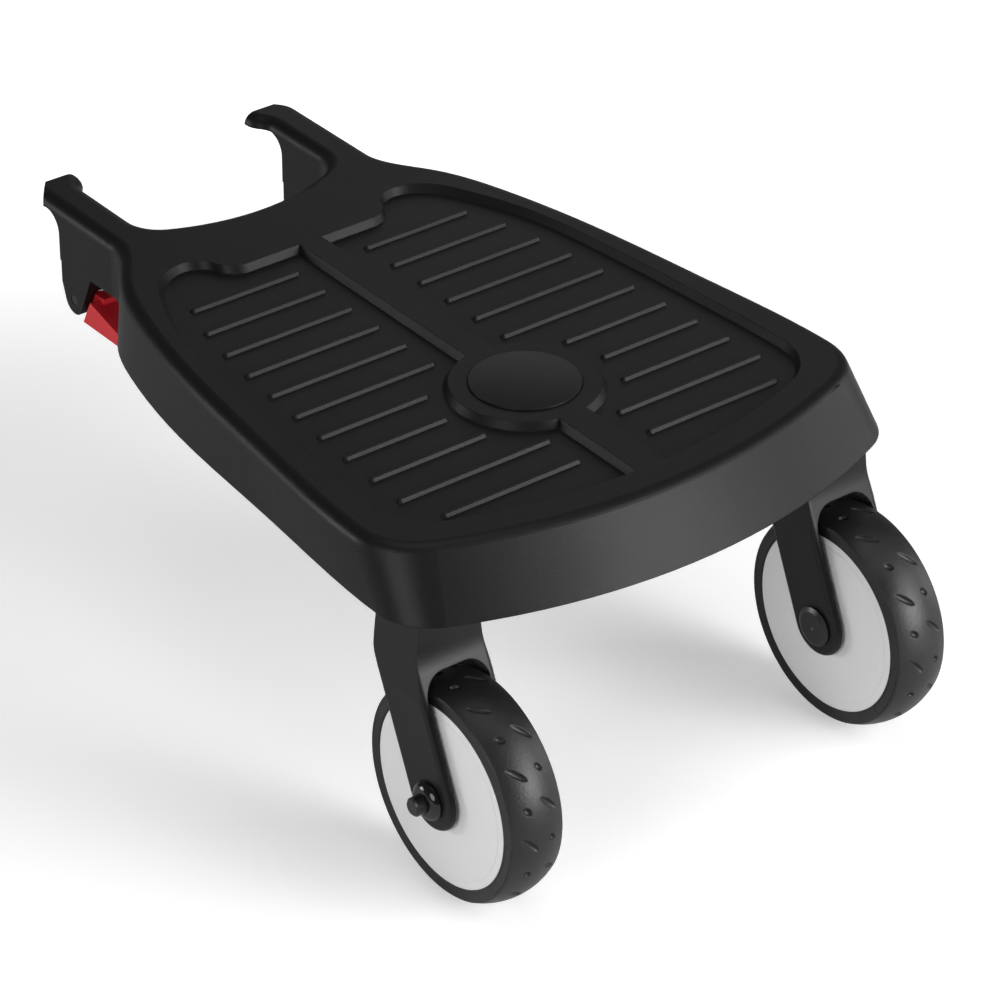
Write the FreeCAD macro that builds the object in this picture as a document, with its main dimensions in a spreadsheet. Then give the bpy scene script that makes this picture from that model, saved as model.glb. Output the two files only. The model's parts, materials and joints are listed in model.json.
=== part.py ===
import FreeCAD, Part
import math
import os

doc = FreeCAD.newDocument("buggy_board")
sheet = doc.addObject("Spreadsheet::Sheet", "sizes")

# Driving sizes in millimetres and degrees. X runs across the board, +Y towards the arms,
# Z up from the floor. Sizes named front or back are distances along -Y from the origin.
values = {
    # deck shell
    "deck_height": 189.5,
    "skirt_depth": 33.5,
    "deck_half_width": 151.4,
    "skirt_half_width": 154.7,
    "deck_front": 194,
    "skirt_front": 217,
    "deck_front_radius": 334,
    "skirt_front_radius": 340,
    "deck_corner_radius": 40,
    "skirt_corner_radius": 32,
    "rear_edge": 157,
    "rear_radius": 115,
    "root_radius": 20,
    "edge_round": 7,
    "deck_wall": 3.2,
    "arm_inner": 62,
    "arm_outer": 85.5,
    "arm_reach": 249,
    "arm_wall": 3.5,
    "arm_roof": 5,
    "tip_flat": 14,
    "tip_cut": 12,
    "thumb_depth": 6.5,
    "flare_start": 172,
    # foot panels
    "panel_depth": 4.2,
    "panel_floor": 3,
    "panel_draft": 2.6,
    "panel_rear": 108.4,
    "panel_front": 176,
    "panel_half_width": 130.5,
    "panel_corner_radius": 36,
    "panel_front_radius": 310,
    "panel_step_start": 40,
    "panel_step_length": 29,
    "panel_step_rise": 20.6,
    "spine_rear_half": 7,
    "spine_front_half": 9,
    "boss_back": 76,
    "boss_radius": 39,
    "rib_count": 11,
    "rib_first": 89,
    "rib_pitch": 23.6,
    "rib_width": 4,
    "rib_height": 1.8,
    "rib_slope": 35,
    "rib_side_gap": 15,
    "rib_spine_gap": 12,
    "rib_boss_gap": 10,
    # centre badge
    "badge_radius": 29,
    "badge_seat": 2,
    "badge_gap": 0.3,
    "badge_edge": 0.8,
    "badge_rise": 2.6,
    # stiffening under the deck
    "brace_wall": 2.5,
    "brace_depth": 8,
    "brace_spread": 46,
    # hooks for the carrier bar
    "bar_radius": 11.1,
    "bar_gap": 0.1,
    "hook_depth": 26.5,
    "hook_roof": 6.3,
    "lip_angle": 60,
    # latch housings, with setbacks measured from the back of the hook
    "housing_gap": 0.25,
    "cheek_wall": 2.6,
    "cheek_setback": 30.5,
    "web_front_setback": 28.5,
    "web_back_setback": 8.5,
    "web_wall": 4,
    "web_rise": 13,
    "ear_flush": 0.4,
    "ear_round": 8.5,
    "ear_heel_angle": -15,
    "ear_toe_angle": 225,
    "ear_setback": 29,
    # release levers
    "pin_setback": 11.5,
    "pin_drop": 20,
    "pin_radius": 3,
    "pin_end_gap": 0.2,
    "lever_side_gap": 0.3,
    "lever_hub_radius": 7,
    "paddle_side_gap": 0.6,
    "paddle_drop": 10,
    "paddle_rise": 5,
    "paddle_rear": 8,
    "paddle_top_rear": 15.5,
    "paddle_bend": 43,
    "paddle_bend_drop": 2.5,
    "paddle_reach": 59,
    "paddle_tip": 3.4,
    "neck_reach": 20,
    "jaw_gap": 0.4,
    "jaw_start_angle": 222,
    "jaw_end_angle": 262,
    "jaw_thickness": 6,
    "jaw_room": 5.4,
    # lever springs
    "spring_setback": 23,
    "spring_radius": 3.6,
    "spring_wire": 1.0,
    "spring_turns": 7,
    "spring_seat_gap": 0.2,
    # housing screws
    "screw_setback": 14.5,
    "screw_radius": 1.75,
    "screw_head_radius": 3.2,
    "screw_head": 2,
    "screw_length": 14,
    "screw_gap": 0.05,
    "post_radius": 4.2,
    "seat_gap": 0.1,
    # casters
    "track_inset": 27.4,
    "swivel_back": 159,
    "trail": 30,
    "caster_boss_radius": 13,
    "bush_wall": 2.4,
    "bush_length": 22,
    "stem_radius": 6,
    "stem_press": 13,
    "stem_tip": 5.5,
    "clip_pocket": 3,
    "clip_wall": 1.6,
    "clip_radius": 9.4,
    "clip_groove": 1,
    "clip_opening": 60,
    "clip_room": 0.6,
    "running_gap": 0.05,
    "washer_wall": 1.9,
    "washer_radius": 15,
    "crown_half_length": 17,
    "crown_half_width": 17.5,
    "crown_knee": 26,
    "front_knee_radius": 24,
    "fork_half_width": 22.3,
    "fork_gap_half": 18.8,
    "fork_eye_radius": 17,
    "fork_drop": 94,
    "fork_shoulder": 42,
    "arch_gap": 4.5,
    "arch_round": 12,
    "fork_round": 3,
    # wheels
    "tyre_radius": 60,
    "tyre_half_width": 15.5,
    "tyre_shoulder": 4,
    "tyre_edge": 0.5,
    "tyre_seat": 42,
    "groove_count": 10,
    "groove_half_length": 6.5,
    "groove_half_width": 1.7,
    "groove_depth": 1.5,
    "groove_turn": -45,
    "groove_place": 6.4,
    "dot_half_length": 2.6,
    "hub_rim": 4,
    "hub_web_half": 2.5,
    "barrel_radius": 11,
    "barrel_half": 17.6,
    "hub_bush_wall": 1.4,
    "hub_bush_length": 12,
    "disc_radius": 49.5,
    "disc_recess": 0.2,
    "disc_wall": 1.7,
    "disc_dome": 0.5,
    "disc_step": 0.25,
    "disc_step_width": 4,
    "disc_spigot": 5,
    "disc_spigot_wall": 2,
    "disc_gap": 0.3,
    "tyre_side_gap": 0.1,
    # axles
    "axle_radius": 5,
    "axle_head_radius": 11,
    "axle_head": 2.4,
    "axle_dimple": 0.7,
    "axle_dimple_radius": 1.6,
    "axle_stub": 6,
    "axle_chamfer": 1,
    "nut_radius": 10.5,
    "nut_rim": 1.2,
    "nut_height": 4.7,
    "nut_bulge_angle": 45,
    "axle_washer_wall": 1,
    "axle_washer_radius": 9.5,
    # cuts run this far past the faces that they open
    "overrun": 5,
    "root": 0.6,
}
for row, (alias, value) in enumerate(values.items(), 1):
    sheet.set("A%d" % row, alias)
    sheet.set("B%d" % row, str(value))
    sheet.setAlias("B%d" % row, alias)
doc.recompute()

sides = {"left": -1, "right": 1}
tolerance = 1e-4

# Places along the flared deck side: across from the arm to the full width, and along from the
# arm to the front corner, as shares.
deck_side_shares = ((0.235, 0.108), (0.493, 0.244), (0.706, 0.447), (0.892, 0.731))
skirt_side_shares = ((0.374, 0.133), (0.571, 0.232), (0.744, 0.398), (0.889, 0.703))
panel_side_shares = ((0.263, 0.020), (0.489, 0.101), (0.698, 0.2335), (0.850, 0.458), (0.966, 0.810))
brace_shares = (0.34, 0.55, 0.77)
disc_dome_share = 0.75
# Where the thumb begins and ends along the free arm.
thumb_shares = (0.7, 0.97)


def size(alias):
    return float(sheet.get(alias))


def mix(start, end, share):
    return start + (end - start) * share


def polar(centre, radius, degrees):
    turn = math.radians(degrees)
    return (centre[0] + radius * math.cos(turn), centre[1] + radius * math.sin(turn))


# Outlines are lists of edges: lines, arcs through three points, and curves with end directions.
def line(start, end):
    return ("line", [start, end], None)


def arc(centre, start, end):
    radius = math.dist(centre, start)
    half = [(start[i] + end[i]) / 2 - centre[i] for i in (0, 1)]
    length = math.hypot(*half)
    middle = (centre[0] + half[0] / length * radius, centre[1] + half[1] / length * radius)
    return ("arc", [start, middle, end], None)


def curve(points, first, last):
    return ("curve", points, (first, last))


def polygon(points):
    return [line(points[i - 1], points[i]) for i in range(len(points))]


def flipped(edge):
    kind, points, ends = edge
    points = [(-x, y) for x, y in reversed(points)]
    if ends:
        ends = ((ends[1][0], -ends[1][1]), (ends[0][0], -ends[0][1]))
    return (kind, points, ends)


def geometry(edge):
    kind, points, ends = edge
    places = [FreeCAD.Vector(x, y, 0) for x, y in points]
    if kind == "line":
        return Part.LineSegment(*places)
    if kind == "arc":
        return Part.Arc(*places)
    drawn = Part.BSplineCurve()
    first, last = [FreeCAD.Vector(x, y, 0) for x, y in ends]
    drawn.interpolate(Points=places, InitialTangent=first, FinalTangent=last, Scale=False)
    return drawn


def circle(centre, radius):
    return Part.Circle(FreeCAD.Vector(*centre, 0), FreeCAD.Vector(0, 0, 1), radius)


def origin_feature(body, role):
    return next(item for item in body.Origin.OriginFeatures if item.Role == role)


def new_body(label, place=None):
    body = doc.addObject("PartDesign::Body", label)
    body.Label = label
    for axis, expression in (place or {}).items():
        body.setExpression("Placement.Base." + axis, expression)
    return body


def sketch(body, name, role, edges, offset="0"):
    drawn = body.newObject("Sketcher::SketchObject", name)
    drawn.AttachmentSupport = (origin_feature(body, role), [""])
    drawn.MapMode = "FlatFace"
    drawn.setExpression("AttachmentOffset.Base.z", offset)
    for edge in edges:
        drawn.addGeometry(geometry(edge) if isinstance(edge, tuple) else edge, False)
    return drawn


def pad(body, name, drawn, length, symmetric=False):
    feature = body.newObject("PartDesign::Pad", name)
    feature.Profile = drawn
    feature.SideType = "Symmetric" if symmetric else "One side"
    feature.setExpression("Length", length)
    return feature


def pocket(body, name, drawn, length, symmetric=False, upward=False):
    feature = body.newObject("PartDesign::Pocket", name)
    feature.Profile = drawn
    feature.SideType = "Symmetric" if symmetric else "One side"
    feature.Reversed = upward
    feature.setExpression("Length", length)
    return feature


def loft(body, name, kind, first, second):
    feature = body.newObject("PartDesign::" + kind, name)
    feature.Profile = first
    feature.Sections = [second]
    feature.Ruled = True
    return feature


def turned(label, edges, place, upright=False):
    body = new_body(label, place)
    drawn = sketch(body, label + "_profile", "XZ_Plane" if upright else "XY_Plane", edges)
    feature = body.newObject("PartDesign::Revolution", label + "_turned")
    feature.Profile = drawn
    feature.ReferenceAxis = (drawn, ["V_Axis" if upright else "H_Axis"])
    feature.Angle = 360
    return body


def edge_round(body, name, base, edges, radius):
    feature = body.newObject("PartDesign::Fillet", name)
    feature.Base = (base, edges)
    feature.setExpression("Radius", radius)
    return feature


# Deck outlines. fall runs from 0 at the top to 1 at the foot of the skirt.
def deck_frame(fall):
    half = mix(size("deck_half_width"), size("skirt_half_width"), fall)
    front = -mix(size("deck_front"), size("skirt_front"), fall)
    radius = mix(size("deck_front_radius"), size("skirt_front_radius"), fall)
    corner = mix(size("deck_corner_radius"), size("skirt_corner_radius"), fall)
    middle = front + radius
    across = half - corner
    along = middle - math.sqrt((radius - corner) ** 2 - across ** 2)
    return half, radius, corner, middle, (across, along)


def side_points(fall, inset):
    half, _, _, _, (_, corner_y) = deck_frame(fall)
    start = (size("arm_outer"), size("flare_start"))
    points = [start]
    for upper, lower in zip(deck_side_shares, skirt_side_shares):
        across, along = [mix(upper[i], lower[i], fall) for i in (0, 1)]
        points.append((mix(start[0], half, across), mix(start[1], corner_y, along)))
    points.append((half, corner_y))
    moved = [(start[0] - inset, start[1])]
    for before, here, after in zip(points, points[1:], points[2:]):
        step = (after[0] - before[0], after[1] - before[1])
        length = math.hypot(*step)
        moved.append((here[0] + inset * step[1] / length, here[1] - inset * step[0] / length))
    moved.append((half - inset, corner_y))
    return moved


def front_edges(fall, inset):
    half, radius, corner, middle, centre = deck_frame(fall)
    reach = (radius - inset) / (radius - corner)
    touch = (centre[0] * reach, middle + (centre[1] - middle) * reach)
    points = side_points(fall, inset)
    right = [curve(points, (0, -1), (0, -1)), arc(centre, points[-1], touch)]
    front = ("arc", [touch, (0, middle - radius + inset), (-touch[0], touch[1])], None)
    return right, front


def whole(right, front, rear):
    return right + [front] + [flipped(edge) for edge in reversed(right)] + [rear]


def arm_root():
    across = size("arm_inner") - size("root_radius")
    turn = size("rear_radius") - size("root_radius")
    return (across, size("rear_edge") + size("rear_radius") - math.sqrt(turn ** 2 - across ** 2))


def thumb_span():
    return [mix(arm_root()[1], size("arm_reach"), share) for share in thumb_shares]


def deck_outline(fall):
    inner, outer, reach = size("arm_inner"), size("arm_outer"), size("arm_reach")
    rear_y = size("rear_edge") + size("rear_radius")
    root_centre = arm_root()
    swell = size("rear_radius") / (size("rear_radius") - size("root_radius"))
    meet = (root_centre[0] * swell, rear_y + (root_centre[1] - rear_y) * swell)
    foot = (inner, root_centre[1])
    shoulder = (outer, reach - size("tip_cut"))
    thumb = inner - size("thumb_depth")
    thumb_start, thumb_end = thumb_span()
    length = thumb_end - thumb_start
    bend = (length ** 2 + size("thumb_depth") ** 2) / (4 * size("thumb_depth"))
    thumb_middle = ((inner + thumb) / 2, thumb_start + length / 2)
    edges = [arc(root_centre, meet, foot),
             line(foot, (inner, thumb_start)),
             arc((inner - bend, thumb_start), (inner, thumb_start), thumb_middle),
             arc((thumb + bend, thumb_end), thumb_middle, (thumb, thumb_end)),
             line((thumb, thumb_end), (thumb, reach)),
             line((thumb, reach), (inner + size("tip_flat"), reach)),
             line((inner + size("tip_flat"), reach), shoulder),
             line(shoulder, (outer, size("flare_start")))]
    right, front = front_edges(fall, 0)
    rear = ("arc", [(-meet[0], meet[1]), (0, size("rear_edge")), meet], None)
    return whole(edges + right, front, rear)


def cavity_outline(fall):
    wall = size("deck_wall")
    radius = size("rear_radius") + wall
    rear_y = size("rear_edge") + size("rear_radius")
    across = size("arm_inner") - size("arm_wall")
    meet = (across, rear_y - math.sqrt(radius ** 2 - across ** 2))
    right, front = front_edges(fall, wall)
    rear = ("arc", [(-meet[0], meet[1]), (0, rear_y - radius), meet], None)
    return whole([line(meet, right[0][1][0])] + right, front, rear)


def panel_outline(inset):
    rear, front = size("panel_rear") - inset, -size("panel_front") + inset
    half, corner = size("panel_half_width") - inset, size("panel_corner_radius") - inset
    radius = size("panel_front_radius") - inset
    middle = front + radius
    across = half - corner
    centre = (across, middle - math.sqrt((radius - corner) ** 2 - across ** 2))
    reach = radius / (radius - corner)
    touch = (across * reach, middle + (centre[1] - middle) * reach)
    step_start = size("panel_step_start")
    length, rise = size("panel_step_length"), size("panel_step_rise")
    bend = (length ** 2 + rise ** 2) / (4 * rise)
    step_middle = (step_start + length / 2, rear + rise / 2)
    step_end = (step_start + length, rear + rise)
    points = [step_end]
    for over, along in panel_side_shares:
        points.append((mix(step_end[0], size("panel_half_width"), over) - inset,
                       mix(step_end[1], centre[1], along)))
    points.append((half, centre[1]))
    spine_rear = (size("spine_rear_half") + inset, rear)
    foot = size("spine_front_half") + inset
    spine_front = (foot, middle - math.sqrt(radius ** 2 - foot ** 2))
    boss, boss_radius = (0, -size("boss_back")), size("boss_radius") + inset
    lean = (spine_rear[0] - spine_front[0]) / (spine_rear[1] - spine_front[1])
    level = spine_front[0] + lean * (boss[1] - spine_front[1])
    spread = math.sqrt(boss_radius ** 2 * (1 + lean ** 2) - level ** 2)
    low, high = [(-lean * level + sign * spread) / (1 + lean ** 2) for sign in (-1, 1)]
    boss_front = (level + lean * low, boss[1] + low)
    boss_rear = (level + lean * high, boss[1] + high)
    return [line(spine_rear, (step_start, rear)),
            arc((step_start, rear + bend), (step_start, rear), step_middle),
            arc((step_end[0], step_end[1] - bend), step_middle, step_end),
            curve(points, (1, 0), (0, -1)),
            arc(centre, points[-1], touch),
            arc((0, middle), touch, spine_front),
            line(spine_front, boss_front),
            arc(boss, boss_front, boss_rear),
            line(boss_rear, spine_rear)]


def reach_at(edges, along):
    best = 0
    for edge in edges:
        drawn = geometry(edge)
        cut = Part.LineSegment(FreeCAD.Vector(0, along, 0),
                               FreeCAD.Vector(size("skirt_half_width") * 2, along, 0))
        for meet in drawn.toShape().Curve.intersect(cut.toShape().Curve):
            inside = drawn.toShape().distToShape(Part.Vertex(FreeCAD.Vector(meet.X, meet.Y, meet.Z)))[0]
            if inside < tolerance:
                best = max(best, meet.X)
    return best


# Deck: the shell is one loft from skirt to border, hollowed from below.
deck = new_body("deck")
skirt_level = "sizes.deck_height - sizes.skirt_depth"
skirt_z = size("deck_height") - size("skirt_depth")
foot_sketch = sketch(deck, "skirt_outline", "XY_Plane", deck_outline(1), skirt_level)
top_sketch = sketch(deck, "border_outline", "XY_Plane", deck_outline(0), "sizes.deck_height")
shell = loft(deck, "shell", "AdditiveLoft", top_sketch, foot_sketch)
doc.recompute()
rim = []
for number, edge in enumerate(shell.Shape.Edges, 1):
    box = edge.BoundBox
    on_tip = box.YMin > size("arm_reach") - size("tip_cut") - tolerance
    if box.ZMin > size("deck_height") - tolerance and not on_tip:
        rim.append("Edge%d" % number)
edge_round(deck, "border_round", shell, rim, "sizes.edge_round")

# Foot panels: one sunk on each side of the spine and the boss.
lifted = -size("panel_draft") * size("overrun") / size("panel_depth")
panel_low = sketch(deck, "panel_floor_outline", "XY_Plane", panel_outline(size("panel_draft")),
                   "sizes.deck_height - sizes.panel_depth")
panel_high = sketch(deck, "panel_rim_outline", "XY_Plane", panel_outline(lifted),
                    "sizes.deck_height + sizes.overrun")
panel_cut = loft(deck, "panel", "SubtractiveLoft", panel_high, panel_low)
panels = deck.newObject("PartDesign::Mirrored", "panels")
panels.Originals = [panel_cut]
panels.MirrorPlane = (origin_feature(deck, "YZ_Plane"), [""])
deck.Tip = panels

# Foot ribs: rounded bars with sloping flanks, shorter beside the boss.
rib_edges = []
panel_edges = panel_outline(0)
for number in range(int(size("rib_count"))):
    along = size("rib_first") - number * size("rib_pitch")
    outer = reach_at(panel_edges[3:5], along) - size("rib_side_gap")
    clear = (size("boss_radius") + size("rib_boss_gap")) ** 2 - (along + size("boss_back")) ** 2
    inner = max(size("spine_front_half") + size("rib_spine_gap"), math.sqrt(max(clear, 0)))
    half = size("rib_width") / 2
    start, end = inner + half, outer - half
    bar = [line((start, along - half), (end, along - half)),
           ("arc", [(end, along - half), (end + half, along), (end, along + half)], None),
           line((end, along + half), (start, along + half)),
           ("arc", [(start, along + half), (start - half, along), (start, along - half)], None)]
    rib_edges += bar + [flipped(edge) for edge in reversed(bar)]
rib_sketch = sketch(deck, "foot_rib_outlines", "XY_Plane", rib_edges,
                    "sizes.deck_height - sizes.panel_depth")
foot_ribs = pad(deck, "foot_ribs", rib_sketch, "sizes.rib_height")
foot_ribs.setExpression("TaperAngle", "-sizes.rib_slope")

# Badge seat in the boss.
boss_place = (0, -size("boss_back"))
seat_sketch = sketch(deck, "badge_seat_outline", "XY_Plane",
                     [circle(boss_place, size("badge_radius") + size("badge_gap"))], "sizes.deck_height")
pocket(deck, "badge_seat", seat_sketch, "sizes.badge_seat")

# Hollow underside.
roof_fall = (size("panel_depth") + size("panel_floor")) / size("skirt_depth")
hollow_low = sketch(deck, "hollow_foot", "XY_Plane",
                    cavity_outline(1 + size("overrun") / size("skirt_depth")),
                    skirt_level + " - sizes.overrun")
hollow_high = sketch(deck, "hollow_roof", "XY_Plane", cavity_outline(roof_fall),
                     "sizes.deck_height - sizes.panel_depth - sizes.panel_floor")
loft(deck, "hollow", "SubtractiveLoft", hollow_high, hollow_low)

# Channels in the arms, deep over the housing and shallow over the jaw.
channel_in = size("arm_inner") + size("arm_wall")
channel_out = size("arm_outer") - size("arm_wall")
arm_middle = (size("arm_inner") + size("arm_outer")) / 2
cradle_radius = size("bar_radius") + size("bar_gap")
hook_back = size("arm_reach") - size("hook_depth")
bar_place = (hook_back + cradle_radius, size("deck_height") - size("hook_roof") - cradle_radius)
jaw_top = polar(bar_place, cradle_radius + size("jaw_gap"), size("jaw_start_angle"))
web_top = skirt_z + size("web_rise")
web_low = web_top - size("web_wall")
shelf = hook_back - size("web_wall")


def channel(low, high):
    bar = polygon([(channel_in, low), (channel_out, low), (channel_out, high), (channel_in, high)])
    return bar + [flipped(edge) for edge in reversed(bar)]


deep_sketch = sketch(deck, "arm_channels", "XY_Plane",
                     channel(size("flare_start") - size("arm_wall") - size("overrun"), shelf),
                     skirt_level + " - sizes.overrun")
pocket(deck, "arm_hollows", deep_sketch,
       "sizes.skirt_depth + sizes.overrun - sizes.arm_roof", upward=True)
jaw_sketch = sketch(deck, "jaw_channels", "XY_Plane",
                    channel(shelf - size("overrun"), hook_back + size("overrun")),
                    skirt_level + " - sizes.overrun")
jaw_room = pocket(deck, "jaw_hollows", jaw_sketch,
                  "sizes.overrun + sizes.jaw_room + %s" % (jaw_top[1] - skirt_z), upward=True)

# Hooks: a cradle open to the rear and to both sides, under a thumb that leans inwards.
lip = polar(bar_place, cradle_radius, size("lip_angle"))
floor_z = skirt_z - size("overrun")
past = size("arm_reach") + size("overrun")
hook_edges = [line((past, floor_z), (hook_back, floor_z)),
              line((hook_back, floor_z), (hook_back, bar_place[1])),
              arc(bar_place, (hook_back, bar_place[1]), lip),
              line(lip, (past, lip[1])),
              line((past, lip[1]), (past, floor_z))]
hook_sketch = sketch(deck, "hook_outline", "YZ_Plane", hook_edges)
pocket(deck, "hooks", hook_sketch, "2 * (sizes.arm_outer + sizes.overrun)", symmetric=True)
thumb_in = size("arm_inner") - size("thumb_depth") - size("overrun")
thumb_start = thumb_span()[0]
under_thumb = polygon([(thumb_in, thumb_start), (size("arm_inner"), thumb_start),
                       (size("arm_inner"), past), (thumb_in, past)])
thumb_sketch = sketch(deck, "thumb_underside", "XY_Plane",
                      under_thumb + [flipped(edge) for edge in reversed(under_thumb)],
                      skirt_level + " - sizes.overrun")
pocket(deck, "thumbs", thumb_sketch, "sizes.skirt_depth + sizes.overrun - sizes.hook_roof", upward=True)

# Bracing under the panels: cross ribs, two long ribs, caster bosses and screw posts.
roof_z = size("deck_height") - size("panel_depth") - size("panel_floor")
brace_z = roof_z - size("brace_depth")
brace_fall = (size("deck_height") - brace_z) / size("skirt_depth")
bury = size("deck_wall") / 2
caster_y = -size("swivel_back")
track_half = size("deck_half_width") - size("track_inset")
front_place = -size("deck_front")
brace_places = [caster_y] + [mix(front_place, size("rear_edge"), share) for share in brace_shares]
for number, along in enumerate(brace_places, 1):
    corners = []
    for fall, level in ((roof_fall, roof_z + size("root")), (brace_fall, brace_z)):
        corners.append((reach_at(front_edges(fall, bury)[0], along), level))
    (top_x, top_z), (low_x, low_z) = corners
    edges = polygon([(-top_x, top_z), (top_x, top_z), (low_x, low_z), (-low_x, low_z)])
    brace = sketch(deck, "cross_brace_outline_%d" % number, "XZ_Plane", edges, str(-along))
    pad(deck, "cross_brace_%d" % number, brace, "sizes.brace_wall", symmetric=True)


def front_at(fall, across):
    _, radius, _, middle, _ = deck_frame(fall)
    return middle - math.sqrt(radius ** 2 - across ** 2) + bury


spread = size("brace_spread")
rear_circle = size("rear_radius") + bury
rear_place = size("rear_edge") + size("rear_radius") - math.sqrt(rear_circle ** 2 - spread ** 2)
long_edges = polygon([(front_at(roof_fall, spread), roof_z + size("root")),
                      (front_at(brace_fall, spread), brace_z),
                      (rear_place, brace_z),
                      (rear_place, roof_z + size("root"))])
for side, sign in sides.items():
    long_sketch = sketch(deck, side + "_long_brace_outline", "YZ_Plane", long_edges,
                         "%d * sizes.brace_spread" % sign)
    pad(deck, side + "_long_brace", long_sketch, "sizes.brace_wall", symmetric=True)


def pair(across, along, radius):
    return [circle((sign * across, along), radius) for sign in sides.values()]


boss_sketch = sketch(deck, "caster_boss_outlines", "XY_Plane",
                     pair(track_half, caster_y, size("caster_boss_radius")), skirt_level)
pad(deck, "caster_bosses", boss_sketch,
    "sizes.skirt_depth - sizes.panel_depth - sizes.panel_floor + sizes.root")
screw_y = hook_back - size("screw_setback")
post_sketch = sketch(deck, "screw_post_outlines", "XY_Plane",
                     pair(arm_middle, screw_y, size("post_radius")), str(web_top + size("seat_gap")))
pad(deck, "screw_posts", post_sketch,
    "sizes.deck_height - sizes.arm_roof + sizes.root - %s" % (web_top + size("seat_gap")))
hole_sketch = sketch(deck, "screw_hole_outlines", "XY_Plane",
                     pair(arm_middle, screw_y, size("screw_radius") + size("screw_gap")),
                     str(web_top - size("web_wall")))
pocket(deck, "screw_holes", hole_sketch, "sizes.screw_length + sizes.seat_gap", upward=True)

# Swivel bores: bush, clip pocket and room for the tip of the stem.
bush_radius = size("stem_radius") + size("running_gap") + size("bush_wall")
bore_sketch = sketch(deck, "bush_bore_outlines", "XY_Plane",
                     pair(track_half, caster_y, bush_radius + size("running_gap")), skirt_level)
pocket(deck, "bush_bores", bore_sketch, "sizes.bush_length", upward=True)
clip_sketch = sketch(deck, "clip_pocket_outlines", "XY_Plane",
                     pair(track_half, caster_y, size("clip_radius") + size("clip_room")),
                     skirt_level + " + sizes.bush_length")
pocket(deck, "clip_pockets", clip_sketch, "sizes.clip_pocket", upward=True)
tip_sketch = sketch(deck, "stem_tip_outlines", "XY_Plane",
                    pair(track_half, caster_y, size("stem_radius") + size("clip_room")),
                    skirt_level + " + sizes.bush_length + sizes.clip_pocket")
pocket(deck, "stem_tip_rooms", tip_sketch, "sizes.stem_tip - sizes.clip_pocket + sizes.clip_room",
       upward=True)
nodes = [deck]

# Centre badge: a blank domed disc with a rolled edge.
seat_z = size("deck_height") - size("badge_seat")
edge_z = size("deck_height") + size("badge_edge")
dome_z = size("deck_height") + size("badge_rise")
badge = size("badge_radius")
chord = (badge ** 2 + (dome_z - edge_z) ** 2) / (2 * (dome_z - edge_z))
nodes.append(turned("centre_badge",
                    [line((0, seat_z), (badge, seat_z)),
                     line((badge, seat_z), (badge, edge_z)),
                     arc((0, dome_z - chord), (badge, edge_z), (0, dome_z)),
                     line((0, dome_z), (0, seat_z))],
                    {"y": "-sizes.boss_back"}, upright=True))

# Latch housings: two cheeks joined by a web, with ears that hang below the arm walls.
# Housing, lever, pin, spring and screw are symmetric about the middle of their arm.
ear_top = skirt_z - size("housing_gap")
pin = (hook_back - size("pin_setback"), skirt_z - size("pin_drop"))
pin_y, pin_z = pin
cheek_front = hook_back - size("cheek_setback")
ear_front = hook_back - size("ear_setback")
cheek_half = (channel_out - channel_in) / 2 - size("housing_gap")
slot_half = cheek_half - size("cheek_wall")
arm_half = (size("arm_outer") - size("arm_inner")) / 2
back_y = hook_back - size("housing_gap")
shoulder_z = pin_z + size("lever_hub_radius")
tongue = polygon([(cheek_front, ear_top),
                  (hook_back - size("web_front_setback"), web_top),
                  (hook_back - size("web_back_setback"), web_top),
                  (back_y, web_top - size("web_wall")),
                  (back_y, ear_top)])
heel = polar(pin, size("ear_round"), size("ear_heel_angle"))
toe = polar(pin, size("ear_round"), size("ear_toe_angle"))
ear = [line((back_y, ear_top), (back_y, shoulder_z)),
       line((back_y, shoulder_z), heel),
       arc(pin, heel, toe),
       line(toe, (ear_front, ear_top)),
       line((ear_front, ear_top), (back_y, ear_top))]
slot_front, slot_back = cheek_front - size("overrun"), hook_back + size("overrun")
slot_low = pin_z - size("ear_round") - size("overrun")
slot = polygon([(slot_front, web_low), (slot_back, web_low), (slot_back, slot_low), (slot_front, slot_low)])

# Release lever: hub and jaw between the cheeks, and a wide paddle in front of the ears.
jaw_radius = cradle_radius + size("jaw_gap")
jaw_back = jaw_radius + size("jaw_thickness")
jaw_nose = polar(bar_place, jaw_radius, size("jaw_end_angle"))
nose_low = polar(bar_place, jaw_back, size("jaw_end_angle"))
jaw_heel = polar(bar_place, jaw_back, size("jaw_start_angle"))
neck_y = pin_y - size("neck_reach")
sole_z = pin_z - size("paddle_drop")
hub_top = (pin_y, shoulder_z)
hub_low = (pin_y, pin_z - size("lever_hub_radius"))
hub_front = (pin_y + size("lever_hub_radius"), pin_z)
claw = [line(hub_top, (neck_y, shoulder_z)),
        line((neck_y, shoulder_z), (neck_y, sole_z)),
        line((neck_y, sole_z), (pin_y - size("paddle_rear"), sole_z)),
        line((pin_y - size("paddle_rear"), sole_z), hub_low),
        arc(pin, hub_low, hub_front),
        line(hub_front, nose_low),
        line(nose_low, jaw_nose),
        arc(bar_place, jaw_nose, jaw_top),
        line(jaw_top, jaw_heel),
        line(jaw_heel, hub_top)]
paddle = polygon([(pin_y - size("paddle_rear"), sole_z),
                  (pin_y - size("paddle_reach"), sole_z),
                  (pin_y - size("paddle_reach"), sole_z + size("paddle_tip")),
                  (pin_y - size("paddle_bend"), pin_z - size("paddle_bend_drop")),
                  (pin_y - size("paddle_top_rear"), pin_z + size("paddle_rise"))])


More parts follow.
